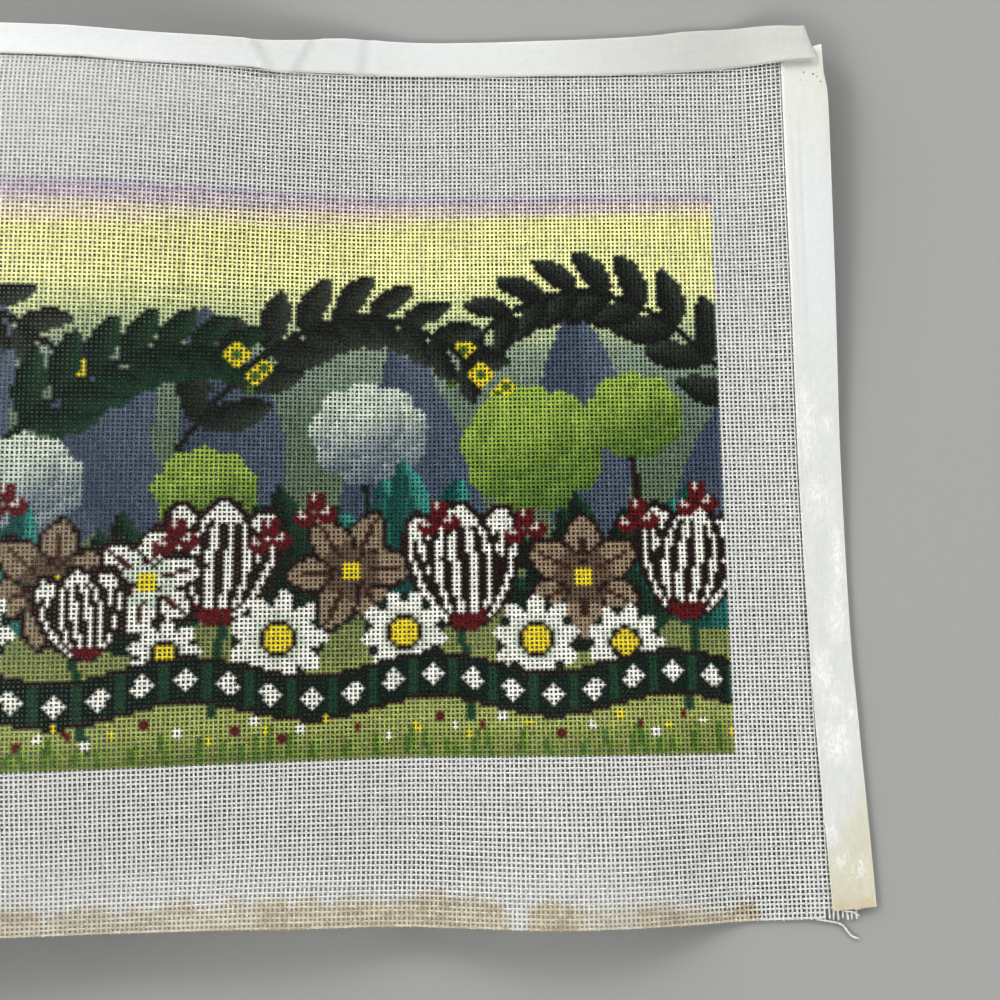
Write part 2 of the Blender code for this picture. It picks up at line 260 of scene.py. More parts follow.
# Arching sprays of dark leaves with small flowers at their tips
Spray = namedtuple("Spray", "start end rise leaves dark pale")
SPRAYS = [
    Spray((-6, 50), (70, 44), 20, 9, CHARCOAL, CHARCOAL_PALE),
    Spray((226, 56), (156, 38), 22, 9, CHARCOAL, CHARCOAL_PALE),
    Spray((92, 62), (160, 44), 22, 9, CHARCOAL, CHARCOAL_PALE),
    Spray((56, 60), (104, 40), 8, 7, PINE, PINE_PALE),
]
for spray in SPRAYS:
    run, fall = spray.end[0] - spray.start[0], spray.end[1] - spray.start[1]
    for k in range(10 * spray.leaves + 1):
        t = k / (10 * spray.leaves)
        x, y = spray.start[0] + run * t, spray.start[1] + fall * t - spray.rise * 4 * t * (1 - t)
        disc(x, y, 0.9, spray.dark)
        if k % 10 == 5:
            heading = math.degrees(math.atan2(run, spray.rise * 4 * (1 - 2 * t) - fall))
            long, wide = 17 - 6 * t, 7.4 - 2.6 * t
            for side in (-1, 1):
                leaf(x, y, heading + 44 * side, long, wide, spray.dark, spray.pale, 0.10 * side, 0.7)
    for dx, dy, size in ((0, 0, 2.7), (6, 3, 2.0), (-4, 5, 1.7), (3, 8, 1.4)):
        x, y = spray.end[0] + math.copysign(dx, run), spray.end[1] + dy
        disc(x, y, size, YELLOW)
        disc(x, y, 0.8, LIME_DEEP)

# Round blossoms, every lobe airbrushed from a pale crown to a deep foot
Blossom = namedtuple("Blossom", "x y size pale deep stalk")
BLOSSOMS = [
    Blossom(24, 62, 14, LIME, LIME_DEEP, BROWN), Blossom(60, 70, 12, CREAM, SLATE_PALE, PINE),
    Blossom(196, 54, 11, LIME, LIME_DEEP, BROWN), Blossom(134, 58, 13, CREAM, SLATE_PALE, PINE),
    Blossom(172, 62, 16, LIME, LIME_DEEP, BROWN), Blossom(98, 72, 11, LIME, LIME_DEEP, BROWN),
]
for row in BLOSSOMS:
    stem(row.x, row.y + row.size * 2.4, 0, row.size * 1.8, row.stalk, 0.05, 1.8)
    lobe = row.size * 0.40
    for ring, lobes in ((0.66, 9), (0.34, 5), (0.0, 1)):
        for k in range(lobes):
            angle = 2 * math.pi * (k + ring) / lobes
            x = row.x + row.size * ring * math.cos(angle)
            y = row.y + row.size * ring * 0.85 * math.sin(angle)
            far = np.hypot(across - x, down - y) / lobe
            light = 0.60 - 0.45 * ((down - y) * 0.8 + (across - x) * 0.5) / lobe
            light = light - 0.25 * (down - row.y) / row.size
            cover(far < 1, row.deep)
            cover((far < 1) * np.clip(light, 0, 1), row.pale)

# Fans of pointed leaves behind the flowers
Fan = namedtuple("Fan", "x y leaves spread long wide dark pale")
FANS = [
    Fan(52, 104, 5, 96, 34, 11, TEAL, TEAL_PALE), Fan(8, 106, 5, 100, 34, 11, PINE, PINE_PALE),
    Fan(118, 106, 5, 92, 36, 11, PINE, PINE_PALE), Fan(146, 102, 5, 88, 38, 12, TEAL, TEAL_PALE),
    Fan(84, 108, 5, 96, 32, 10, PINE, PINE_PALE), Fan(186, 108, 7, 120, 36, 10, PINE, PINE_PALE),
    Fan(212, 104, 5, 90, 34, 11, TEAL, TEAL_PALE),
]
for fan in FANS:
    outer_first = sorted(range(fan.leaves), key=lambda k: -abs(k - (fan.leaves - 1) / 2))
    for k in outer_first:
        turn = fan.spread * (k / (fan.leaves - 1) - 0.5)
        length, bend = fan.long * (1 - 0.25 * abs(turn) / 60), math.copysign(0.12, turn)
        leaf(fan.x, fan.y, turn, length, fan.wide, fan.dark, fan.pale, bend, 0.75)
        stem(fan.x, fan.y, turn, length * 0.9, fan.dark, bend, 1.0)


def lily(row, tone=TAUPE, deep=TAUPE_DEEP):
    """Six petals round a yellow eye, deeper at the foot, each ribbed and outlined in brown."""
    wide, blunt, outline = row.size * 0.56, 0.75, 1.3
    for k in (0, 2, 4, 1, 3, 5):
        turn = row.turn + 60 * k
        cover(petal(row.x, row.y, turn, row.size + outline, wide + 2, blunt)[0], BROWN)
        mask, share, aside = petal(row.x, row.y, turn, row.size, wide, blunt)
        cover(mask, tone)
        cover(mask & (share < 0.45), deep)
        cover(mask & (np.abs(aside) < 0.14) & (share > 0.3), BROWN_PALE)
    disc(row.x, row.y, 2.2, YELLOW)


def white_lily(row):
    """The same in white."""
    lily(row, WHITE, CREAM)


def daisy(row):
    """Nine blunt white petals over a dark green round, with a yellow eye."""
    eye = row.size * 0.30
    disc(row.x, row.y, row.size * 0.9, PINE)
    for k in range(9):
        mask, share, _ = petal(row.x, row.y, row.turn + 40 * k, row.size, row.size * 0.46, 0.55)
        cover(mask, WHITE)
        cover(mask & (share < 0.5), CREAM)
    disc(row.x, row.y, eye + 1, BROWN)
    disc(row.x, row.y, eye, YELLOW)


def tulip(row):
    """A white cup of three petals, striped and outlined in brown, on a green stalk."""
    blunt, outline = 0.62, 1.6
    stem(row.x, row.y + 20, row.turn, 22, PINE_PALE, 0, 2)
    for lean, wide in ((-21, row.size * 0.40), (21, row.size * 0.40), (0, row.size * 0.46)):
        turn = row.turn + lean
        cover(petal(row.x, row.y, turn, row.size + outline, wide + 3, blunt)[0], BROWN)
        mask, share, aside = petal(row.x, row.y, turn, row.size, wide, blunt)
        stripes = (np.abs(aside) < 0.16) | (np.abs(np.abs(aside) - 0.62) < 0.15)
        cover(mask, WHITE)
        cover(mask & stripes & (share < 0.84), BROWN)
        cover(mask & (share < 0.15), MAROON)


# Lilies, tulips and daisies, in front of one another as planted
Flower = namedtuple("Flower", "paint x y size turn")
FLOWERS = [
    Flower(lily, 66, 92, 14, 10), Flower(tulip, 30, 98, 27, -6), Flower(daisy, 10, 92, 11, 0),
    Flower(tulip, 100, 102, 28, 5), Flower(lily, 130, 90, 14, 25), Flower(white_lily, 86, 92, 12, 12),
    Flower(daisy, 114, 105, 11, 8), Flower(tulip, 157, 104, 29, -5), Flower(lily, 183, 92, 14, 0),
    Flower(daisy, 142, 104, 10, 20), Flower(tulip, 206, 102, 27, 7), Flower(daisy, 172, 106, 10, 0),
    Flower(daisy, 48, 102, 11, 15), Flower(tulip, 74, 109, 20, -8), Flower(daisy, 192, 107, 9, 10),
    Flower(daisy, 90, 108, 8, 5),
]
for row in FLOWERS:
    row.paint(row)

# Berries on the stems, in threes
BERRIES = [
    (20, 84), (42, 82), (56, 76), (92, 84), (112, 84), (122, 78), (150, 80), (170, 82), (196, 80), (210, 76),
]
for x, y in BERRIES:
    stem(x, y + 8, 0, 8, BROWN, 0, 1)
    for dx, dy in ((-2.6, 0), (2.6, -1.2), (0, -4.2)):
        disc(x + dx, y + dy, 2.3, MAROON)
        disc(x + dx - 0.6, y + dy - 0.8, 0.8, WHITE, 0.7)

# A waved ribbon along the foot, with small diamonds, and the grass below it
RIBBON_ROW, RIBBON_WAVE, RIBBON_LONG, RIBBON_HALF, RIBBON_RIM = 116, 2.4, 54, 4.2, 1.0
DIAMOND_APART, DIAMOND_HALF, BAR_HALF = 9, 2.6, 0.6
GRASS_BLADES, GRASS_APART = 44, 5
from_ribbon = np.abs(down - RIBBON_ROW - RIBBON_WAVE * np.sin(2 * np.pi * across / RIBBON_LONG))
cover(from_ribbon < RIBBON_HALF + RIBBON_RIM, BROWN)
cover(from_ribbon < RIBBON_HALF, PINE)
from_diamond = np.abs(across - (np.round(across / DIAMOND_APART - 0.5) + 0.5) * DIAMOND_APART)
cover(from_diamond + from_ribbon < DIAMOND_HALF, WHITE)
cover((from_diamond > DIAMOND_APART / 2 - BAR_HALF) & (from_ribbon < RIBBON_HALF), PINE_PALE)
for k in range(GRASS_BLADES):
    foot = GRASS_APART * k + 3 * math.sin(7 * k)
    leaf(foot, FIELD_HIGH, 14 * math.sin(3 * k), 6 + 2 * math.sin(5 * k), 2.4, LIME_DEEP, LIME, 0, 0.8)
    disc(foot + 2, 125 + 2 * math.sin(11 * k), 0.9, (WHITE, YELLOW, MAROON)[k % 3])

# A hand's mottling in the paint, a soft start at the top, and bare canvas all round the field
SPECKLE, MOTTLE, SOFT_START, SOFT_ROWS = 0.05, 0.03, -0.9, 2.0
tint *= 1 + SPECKLE * rng.normal(size=(*GRID, 1)) + MOTTLE * wander(GRID, 1, 10)[..., None]
in_field = (down < FIELD_HIGH) * (across > 0) * (across < FIELD_WIDE)
painted = np.clip((down - SOFT_START) / SOFT_ROWS, 0, 1) * in_field
tint = bare_tint * (1 - painted[..., None]) + tint * painted[..., None]

# Tan stains along the raw edge, where the lost tape's glue has aged: from and to which x, how many rows
# deep and how strong. Each fades along the edge and upwards, wavers in depth, and holds darker blots.
GLUE, GLUE_DEEP = seen(0.84, 0.79, 0.66), seen(0.62, 0.55, 0.42)
Stain = namedtuple("Stain", "start end rows strong")
STAINS = [
    Stain(-192, -60, 4.6, 0.6), Stain(-60, 2, 4.9, 0.55), Stain(2, 80, 5.1, 0.72),
    Stain(86, 103, 4.3, 0.8), Stain(101, 123, 3.8, 0.45), Stain(119, 134, 4.7, 0.7),
    Stain(131, 158, 4.3, 0.68),
]
END_INSET, END_FADE, ROW_INSET, ROW_FADE = 2.0, 5.0, 1.0, 2.5
edge_x = cross_x[:, -1]
deep, strong = np.full(WARPS, 1.0), np.zeros(WARPS)
for stain in STAINS:
    half = (stain.end - stain.start) / 2
    inside = fade((np.abs(edge_x - stain.start - half) - half + END_INSET) / END_FADE)
    deep, strong = np.maximum(deep, stain.rows * inside), np.maximum(strong, stain.strong * inside)
deep = deep + 0.8 * wander((WARPS,), 0, 12) + 0.4 * rng.normal(size=WARPS)
from_edge = WEFTS - 1 - np.arange(WEFTS)
glue = fade((from_edge[None, :] - deep[:, None] + ROW_INSET) / ROW_FADE) * strong[:, None]
blot = np.clip(0.35 + 0.385 * wander(GRID, 0, 7) + 0.3 * rng.normal(size=GRID), 0, 1)
cover(glue, GLUE, 0.8)
cover(glue * blot, GLUE_DEEP, 0.55)


def thread_rings(place, side, up, side_share, thick_share):
    """The four-sided rings of a thread: left, top, right and bottom points, and their normals."""
    wide = THREAD_HALF_WIDE * side_share[..., None]
    thick = THREAD_HALF_THICK * thick_share[..., None]
    points = np.stack([place - side * wide, place + up * thick, place + side * wide, place - up * thick], -2)
    return points, np.stack([-side, up, side, -up], -2)


def with_ends(values, first, last):
    """Adds one ring before and one after each thread."""
    return np.concatenate([first, values, last], axis=1)


def threads(place, side, up, colors, crest, long_start, long_end, top_highlight):
    """All threads of one direction. Each has a ring at every crossing, over or under, and a tapered end.

    The raised crossings' tops are lightened a little as a painted highlight, by top_highlight, and the paint
    is thinner on the back.
    """
    uneven, uneven_reach, uneven_fine, end_thin, back_paint = 0.035, 12, 0.012, 0.62, 0.7
    centre = place + up * (crest * CRIMP)[..., None]
    start = centre[:, :1] + (centre[:, :1] - centre[:, 1:2]) * long_start[:, None, None]
    end = centre[:, -1:] + (centre[:, -1:] - centre[:, -2:-1]) * long_end[:, None, None]
    wide = 1 + uneven * wander(crest.shape, 1, uneven_reach) + uneven_fine * rng.normal(size=crest.shape)
    taper = np.full((len(place), 1), end_thin)
    points, normals = thread_rings(
        with_ends(centre, start, end),
        with_ends(side, side[:, :1], side[:, -1:]),
        with_ends(up, up[:, :1], up[:, -1:]),
        with_ends(wide, taper, taper),
        with_ends(np.ones_like(wide), taper, taper),
    )
    tones = np.repeat(with_ends(colors, colors[:, :1], colors[:, -1:])[:, :, None, :], 4, axis=2)
    raised = with_ends(np.clip(crest, 0, 1), 0 * taper, 0 * taper)[..., None]
    # a painted highlight on the tops of the raised crossings
    tones[:, :, 1, :3] += top_highlight * raised * tones[:, :, 1, 3:]
    tones[:, :, 3, :3] = back_paint * tones[:, :, 3, :3] + (1 - back_paint) * BARE
    return points, normals, tones


# The cut ends stand out past the last crossing, by shares of the pitch, and most at the frayed right corner
# WARP_TOP_HIGHLIGHT and WEFT_TOP_HIGHLIGHT lighten the raised crossings' tops as a painted highlight
CUT_END, WARP_TOP_HIGHLIGHT, WEFT_TOP_HIGHLIGHT = 0.4, 0.030, 0.008
FRAYED_FROM, FRAYED_WEFTS = 179.3, 2
paint = np.concatenate([tint, painted[..., None]], -1)
stub = 0.30 + 0.10 * rng.random(WARPS)
frayed = edge_x > FRAYED_FROM
stub[frayed] = 0.35 + 0.5 * rng.random(frayed.sum())
warp_cut, weft_cut = np.full(WARPS, CUT_END), np.full(WEFTS, CUT_END)
turned = [values.transpose(1, 0, 2) for values in (cross_place, along_warp, cloth_up, paint)]
warp_set = threads(cross_place, along_weft, cloth_up, paint, over, warp_cut, stub, WARP_TOP_HIGHLIGHT)
weft_set = threads(*turned, -over.T, weft_cut, weft_cut, WEFT_TOP_HIGHLIGHT)


def value_range(nodes, to, given=(0.0, 1.0)):
    """A node that turns one range of values into another."""
    step = nodes.new("ShaderNodeMapRange")
    step.inputs["From Min"].default_value, step.inputs["From Max"].default_value = given
    step.inputs["To Min"].default_value, step.inputs["To Max"].default_value = to
    return step


def wire(links, *joints):
    """Joins nodes, each joint as a node and its output, then a node and its input."""
    for source, out, target, into in joints:
        links.new(source.outputs[out], target.inputs[into])


def color_mix(nodes, blend="MIX"):
    """A node that mixes two colours."""
    mixed = nodes.new("ShaderNodeMix")
    mixed.data_type, mixed.blend_type = "RGBA", blend
    return mixed


def fibre_group():
    """Spun cotton fibre: fine light and dark streaks, and a height for the bump."""
    group = bpy.data.node_groups.new("cotton_fibre", "ShaderNodeTree")
    for name, kind in (("Color", "Color"), ("Scale", "Float"), ("Contrast", "Float")):
        group.interface.new_socket(name, in_out="INPUT", socket_type="NodeSocket" + kind)
    for name, kind in (("Color", "Color"), ("Height", "Float")):
        group.interface.new_socket(name, in_out="OUTPUT", socket_type="NodeSocket" + kind)
    nodes, links = group.nodes, group.links
    given, result = nodes.new("NodeGroupInput"), nodes.new("NodeGroupOutput")
    place, noise = nodes.new("ShaderNodeTexCoord"), nodes.new("ShaderNodeTexNoise")
    noise.inputs["Detail"].default_value = 3.0
    noise.inputs["Roughness"].default_value = 0.6
    spread, shade = value_range(nodes, (0.72, 1.12), given=(0.3, 0.7)), color_mix(nodes, "MULTIPLY")
    wire(
        links, (place, "Object", noise, "Vector"), (given, "Scale", noise, "Scale"),
        (noise, "Fac", spread, "Value"), (given, "Contrast", shade, "Factor"),
        (given, "Color", shade, "A"), (spread, "Result", shade, "B"), (shade, "Result", result, "Color"),
        (noise, "Fac", result, "Height"),
    )
    return group


cotton_fibre = fibre_group()


def fibre_look(nodes, scale, contrast):
    """The cotton fibre, placed in a material with its own values."""
    fibre = nodes.new("ShaderNodeGroup")
    fibre.node_tree = cotton_fibre
    fibre.inputs["Scale"].default_value = scale
    fibre.inputs["Contrast"].default_value = contrast
    return fibre


def thread_finish():
    """Sized cotton thread under its paint: the bare thread is glazed, the paint is dull."""
    finish = bpy.data.materials.new("painted_cotton_thread")
    finish.use_nodes = True
    nodes, links = finish.node_tree.nodes, finish.node_tree.links
    shader = nodes["Principled BSDF"]
    color = nodes.new("ShaderNodeAttribute")
    color.attribute_name = "paint"
    fibre = fibre_look(nodes, scale=2600.0, contrast=0.18)
    rough, relief = value_range(nodes, (0.48, 0.68)), nodes.new("ShaderNodeBump")
    relief.inputs["Strength"].default_value = 0.25
    relief.inputs["Distance"].default_value = 0.00006
    wire(
        links, (color, "Color", fibre, "Color"), (fibre, "Color", shader, "Base Color"),
        (color, "Alpha", rough, "Value"), (rough, "Result", shader, "Roughness"),
        (fibre, "Height", relief, "Height"), (relief, "Normal", shader, "Normal"),
    )
    return finish


canvas_finish = thread_finish()


def in_row(points):
    """Cloth millimetres to the row frame's metres, from the panel's middle."""
    return (np.array(points) - [MIDDLE_X, MIDDLE_Y, 0.0]) * MM


def smooth_mesh(name, points, faces, finish):
    """A smooth mesh in its finish, from cloth millimetres."""
    mesh = bpy.data.meshes.new(name)
    mesh.from_pydata(in_row(points).tolist(), [], faces)
    mesh.shade_smooth()
    mesh.materials.append(finish)
    return mesh


def color_points(mesh, layer, colors):
    """A colour for each point, which the finish reads by the layer's name."""
    coat = mesh.color_attributes.new(layer, "FLOAT_COLOR", "POINT")
    coat.data.foreach_set("color", np.clip(colors, 0, 1).ravel())


def placed(name, data):
    """A new object in the scene."""
    thing = bpy.data.objects.new(name, data)
    bpy.context.scene.collection.objects.link(thing)
    return thing


def bake_places(points, faces, back, is_end):
    """A map for each face from above: fronts in the left half, backs in the right half, ends leant over."""
    low, high, places = points.min(axis=0), points.max(axis=0), points[faces]
    lean = (places[..., 2] - places[..., 2].mean(axis=1, keepdims=True)) * is_end[:, None]
    u = (places[..., 0] + lean - low[0]) / (high[0] - low[0])
    v = (places[..., 1] + lean - low[1]) / (high[1] - low[1])
    u = np.clip(u, 0, 1) * 0.49 + 0.005 + 0.5 * back[:, None]
    return np.stack([u, np.clip(v, 0, 1) * 0.99 + 0.005], -1)


def strip_object(name, sets):
    """One mesh from sets of threads, each (threads, rings, 4) points with normals and colours."""
    faces, back, is_end, count = [], [], [], 0
    for ring_points, _, _ in sets:
        n, rings = ring_points.shape[:2]
        number = count + np.arange(n * rings * 4).reshape(n, rings, 4)
        count += number.size
        a, b = number[:, :-1], number[:, 1:]
        sides = np.stack([a, b, np.roll(b, -1, axis=-1), np.roll(a, -1, axis=-1)], -1).reshape(-1, 4)
        faces += [sides, number[:, 0], number[:, -1, ::-1]]
        back += [np.tile([0, 0, 1, 1], len(sides) // 4), np.zeros(2 * n)]
        is_end += [np.zeros(len(sides)), np.ones(2 * n)]
    faces, back, is_end = np.concatenate(faces), np.concatenate(back), np.concatenate(is_end)
    points, normals, tones = (
        np.concatenate([values.reshape(-1, values.shape[-1]) for values in kind]) for kind in zip(*sets)
    )
    mesh = smooth_mesh(name, points, faces.tolist(), canvas_finish)
    chart = mesh.uv_layers.new(name="OFBake")
    chart.data.foreach_set("uv", bake_places(points, faces, back, is_end).ravel())
    color_points(mesh, "paint", tones)
    mesh.normals_split_custom_set_from_vertices(normals.tolist())
    return placed(name, mesh)


STRIPS = 6
seams = np.linspace(0, WARPS, STRIPS + 1).round().astype(int)
for k in range(STRIPS):
    first, last = seams[k], seams[k + 1]
    warps = [values[first:last] for values in warp_set]
    # a weft's ring n + 1 is at warp n, and a strip runs on to its neighbour's first warp
    from_ring = 0 if k == 0 else first + 1
    to_ring = last + 2
    wefts = [values[:-FRAYED_WEFTS, from_ring:to_ring] for values in weft_set]
    # the last wefts have slipped out of the right corner
    last_ring = min(to_ring, 1 + np.argmax(frayed))
    short_wefts = [values[-FRAYED_WEFTS:, from_ring:last_ring] for values in weft_set]
    strip = strip_object(f"canvas_{k + 1}", [warps, wefts, short_wefts])
    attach(strip, "root")
    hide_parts("canvas")

# ----------------------------------------------------------------------
# The tapes: 1 inch white cloth tape with glue on one side, folded over each cut edge and pressed down. The
# top one was put on last and runs over both side tapes. The bottom one is lost.
# ----------------------------------------------------------------------
TAPE_WIDE, TAPE_THICK, FLAP_OFF, TABLE_GAP = 25.4, 0.10, 0.5, 0.02
# Each edge as places along it and how far out it lies there
TOP_OUTER = [
    (-194, 143.6), (-120, 143.2), (-42, 142.9), (-2, 143.0), (14, 144.5), (30, 146.5),
    (65, 145.9), (100, 146.4), (131, 147.6), (152, 149.4), (169, 149.8), (187, 147.8),
]
TOP_INNER = [
    (-194, 131.6), (-120, 131.0), (-40, 130.7), (-18, 131.6), (-2, 132.2), (5, 131.5),
    (14, 132.4), (31, 133.2), (82, 133.0), (117, 132.9), (151, 134.0), (168, 135.1),
    (190, 134.2),
]
RIGHT_OUTER = [
    (-147, 194.9), (-127, 194.3), (-112, 193.7), (-97, 193.1), (-81, 192.5), (-65, 191.9),
    (-33, 191.8), (0, 191.9), (33, 192.5), (67, 193.1), (102, 193.5), (120, 193.7),
    (124, 193.6), (131, 192.6), (146, 192.3),
]
RIGHT_INNER = [
    (-147, 180.9), (-127, 180.3), (-106, 179.4), (-84, 178.7), (-52, 178.1), (-8, 177.8),
    (34, 178.1), (86, 178.4), (134, 178.7),
]


def edge_line(rows, position):
    """An outline's place at a position along it, on a smooth curve that never swings past its points."""
    at, away = np.array(rows, float).T
    secant = np.diff(away) / np.diff(at)
    before, after = secant[:-1], secant[1:]
    same_way = before * after > 0
    inner = np.where(same_way, 2 * before * after / np.where(same_way, before + after, 1.0), 0.0)
    slope = np.concatenate([secant[:1], inner, secant[-1:]])
    position = np.clip(position, at[0], at[-1])
    i = np.clip(np.searchsorted(at, position) - 1, 0, len(at) - 2)
    span = at[i + 1] - at[i]
    t = (position - at[i]) / span
    blend = t * t * (3 - 2 * t)
    bend = slope[i] * span * t * (1 - t) ** 2 - slope[i + 1] * span * t * t * (1 - t)
    return away[i] + (away[i + 1] - away[i]) * blend + bend


Speck = namedtuple("Speck", "x y radius tone")
SPECKS = [
    Speck(188.8, 129.5, 0.45, seen(0.45, 0.30, 0.22)), Speck(185.9, 130.5, 0.5, seen(0.66, 0.58, 0.66)),
    Speck(191.3, 126.8, 0.4, seen(0.50, 0.50, 0.50)), Speck(190.2, 128.6, 0.35, seen(0.62, 0.54, 0.48)),
    Speck(184.6, 127.9, 0.3, seen(0.62, 0.60, 0.62)),
]
# the white of the painted highlights along the tape's crinkles
HIGHLIGHT_WHITE = seen(0.985, 0.985, 0.975)
WAVE_AT_ONE = 0.314  # the length of one band of the wave texture at a scale of 1


def calculation(nodes, operation, second=None, kind="Math"):
    """A node that works out one sum, of numbers or of places, with its second one where that is fixed."""
    step = nodes.new("ShaderNode" + kind)
    step.operation = operation
    if second is not None:
        step.inputs[1].default_value = second
    return step


def tape_finish():
    """White cloth tape with a soft gloss: the canvas shows through faintly, and worn places are crinkled,
    with painted highlights along the crinkles.
    """
    finish = bpy.data.materials.new("white_cloth_tape")
    finish.use_nodes = True
    nodes, links = finish.node_tree.nodes, finish.node_tree.links
    shader = nodes["Principled BSDF"]
    # the tape's colours hold real wear and stains together with painted shade and painted highlights; their
    # alpha is the gloss
    wear_and_painted_light, place = nodes.new("ShaderNodeAttribute"), nodes.new("ShaderNodeTexCoord")
    wear_and_painted_light.attribute_name = "wear_and_painted_light"
    fibre = fibre_look(nodes, scale=1500.0, contrast=0.10)
    wire(links, (wear_and_painted_light, "Color", fibre, "Color"))

    # the canvas's threads under the tape: bands one pitch apart, both ways
    imprint = calculation(nodes, "MAXIMUM")
    for k, way in enumerate("XY"):
        bands = nodes.new("ShaderNodeTexWave")
        bands.bands_direction = way
        bands.inputs["Scale"].default_value = WAVE_AT_ONE / (PITCH * MM)
        bands.inputs["Distortion"].default_value = 0.5
        bands.inputs["Detail"].default_value = 1.0
        wire(links, (place, "Object", bands, "Vector"), (bands, "Fac", imprint, k))
    through, tone = value_range(nodes, (0.98, 1.0)), color_mix(nodes, "MULTIPLY")
    tone.inputs["Factor"].default_value = 1.0
    wire(
        links, (imprint, "Value", through, "Value"), (fibre, "Color", tone, "A"),
        (through, "Result", tone, "B"),
    )

    # fine crinkles along the middle line of a noise, where the tape has been rubbed and bent, painted white
    # along them as a highlight
    stretch, folds = nodes.new("ShaderNodeMapping"), nodes.new("ShaderNodeTexNoise")
    stretch.inputs["Scale"].default_value = (1.0, 0.45, 1.0)
    folds.inputs["Scale"].default_value = 330.0
    folds.inputs["Detail"].default_value = 5.0
    folds.inputs["Roughness"].default_value = 0.65
    folds.inputs["Distortion"].default_value = 0.4
    from_middle, either_side = calculation(nodes, "SUBTRACT", 0.5), calculation(nodes, "ABSOLUTE")
    line, crinkle_and_highlight = value_range(nodes, (0.95, 0.0), given=(0.0, 0.055)), calculation(nodes, "MULTIPLY")
    wire(
        links, (place, "Object", stretch, "Vector"), (stretch, "Vector", folds, "Vector"),
        (folds, "Fac", from_middle, 0), (from_middle, "Value", either_side, 0),
        (either_side, "Value", line, "Value"), (line, "Result", crinkle_and_highlight, 0), (wear_and_painted_light, "Alpha", crinkle_and_highlight, 1),
    )
    # the crinkle lines are painted white as a highlight
    rub_and_highlight = color_mix(nodes)
    rub_and_highlight.inputs["B"].default_value = (*HIGHLIGHT_WHITE, 1.0)
    wire(links, (crinkle_and_highlight, "Value", rub_and_highlight, "Factor"), (tone, "Result", rub_and_highlight, "A"))

    # small specks of dirt near the top corner
    level = calculation(nodes, "MULTIPLY", (1.0, 1.0, 0.0), "VectorMath")
    wire(links, (place, "Object", level, 0))
    so_far = rub_and_highlight
    for speck in SPECKS:
        away = calculation(nodes, "DISTANCE", in_row((speck.x, speck.y, 0.0)), "VectorMath")
        spot = value_range(nodes, (0.8, 0.0), given=(speck.radius * 0.4 * MM, speck.radius * MM))
        dirt = color_mix(nodes)
        dirt.inputs["B"].default_value = (*speck.tone, 1.0)
        wire(
            links, (level, "Vector", away, 0), (away, "Value", spot, "Value"),
            (spot, "Result", dirt, "Factor"), (so_far, "Result", dirt, "A"),
        )
        so_far = dirt
    wire(links, (so_far, "Result", shader, "Base Color"))

    # worn places shine more, and the threads under the tape stand up a little
    rough, height = value_range(nodes, (0.50, 0.30)), calculation(nodes, "MULTIPLY_ADD", 0.12)
    relief = nodes.new("ShaderNodeBump")
    relief.inputs["Strength"].default_value = 0.5
    relief.inputs["Distance"].default_value = 0.00012
    wire(
        links, (wear_and_painted_light, "Alpha", rough, "Value"), (rough, "Result", shader, "Roughness"),
        (imprint, "Value", height, 0), (crinkle_and_highlight, "Value", height, 2), (height, "Value", relief, "Height"),
        (relief, "Normal", shader, "Normal"),
    )
    return finish


tape_white = tape_finish()


def fold_section(front, radius, front_steps=12, fold_steps=8, back_steps=4):
    """A folded tape's section at each station, from the front flap's free edge round to the back flap's.

    For each point: how far in from the fold line it is, how far off the cloth, whether it is on the front
    flap, its share of the way in there, and the painted shade by the free edge.
    """
    rim_from, rim_shade = 0.92, 0.12
    front, radius = front[:, None], radius[:, None]
    back = TAPE_WIDE - math.pi * FLAP_OFF - front
    angles = np.linspace(0, math.pi, fold_steps + 1)
    front_in = front * np.linspace(1, 0, front_steps + 1)[:-1]
    back_in = back * np.linspace(0, 1, back_steps + 1)[1:]
    inward = np.concatenate([front_in, -radius * np.sin(angles), back_in], axis=1)
    off = radius * np.concatenate([np.ones(front_steps), np.cos(angles), -np.ones(back_steps)])
    on_front, from_fold = np.clip(off / FLAP_OFF, 0, 1), np.clip(inward / front, 0, 1)
    # painted shade along the front flap's free edge
    edge_shade = 1 - rim_shade * np.clip((from_fold - rim_from) / (1 - rim_from), 0, 1) * on_front
    return inward, off, on_front, from_fold, edge_shade


TAPE_WHITE = seen(0.897, 0.904, 0.898)
TAPE_WARM = seen(0.884, 0.874, 0.785)
TAPE_TAN = seen(0.865, 0.81, 0.70)
TAPE_SPECKLE = 0.01


def tape_wear_and_painted_light(warm, tan, shade, painted_highlight, gloss):
    """White with shares of a warm and a tan tone, times a shade that holds painted shade, and paled by a
    painted highlight where rubbed. Its alpha is the gloss.
    """
    warm, tan, shade, painted_highlight, gloss = (values[..., None] for values in (warm, tan, shade, painted_highlight, gloss))
    tones = TAPE_WHITE * (1 - np.clip(warm, 0, 1)) + TAPE_WARM * np.clip(warm, 0, 1)
    tones = tones * (1 - np.clip(tan, 0, 1)) + TAPE_TAN * np.clip(tan, 0, 1)
    tones = tones * (1 + TAPE_SPECKLE * rng.normal(size=warm.shape)) * shade
    return np.concatenate([tones * (1 - painted_highlight) + painted_highlight, gloss], -1)


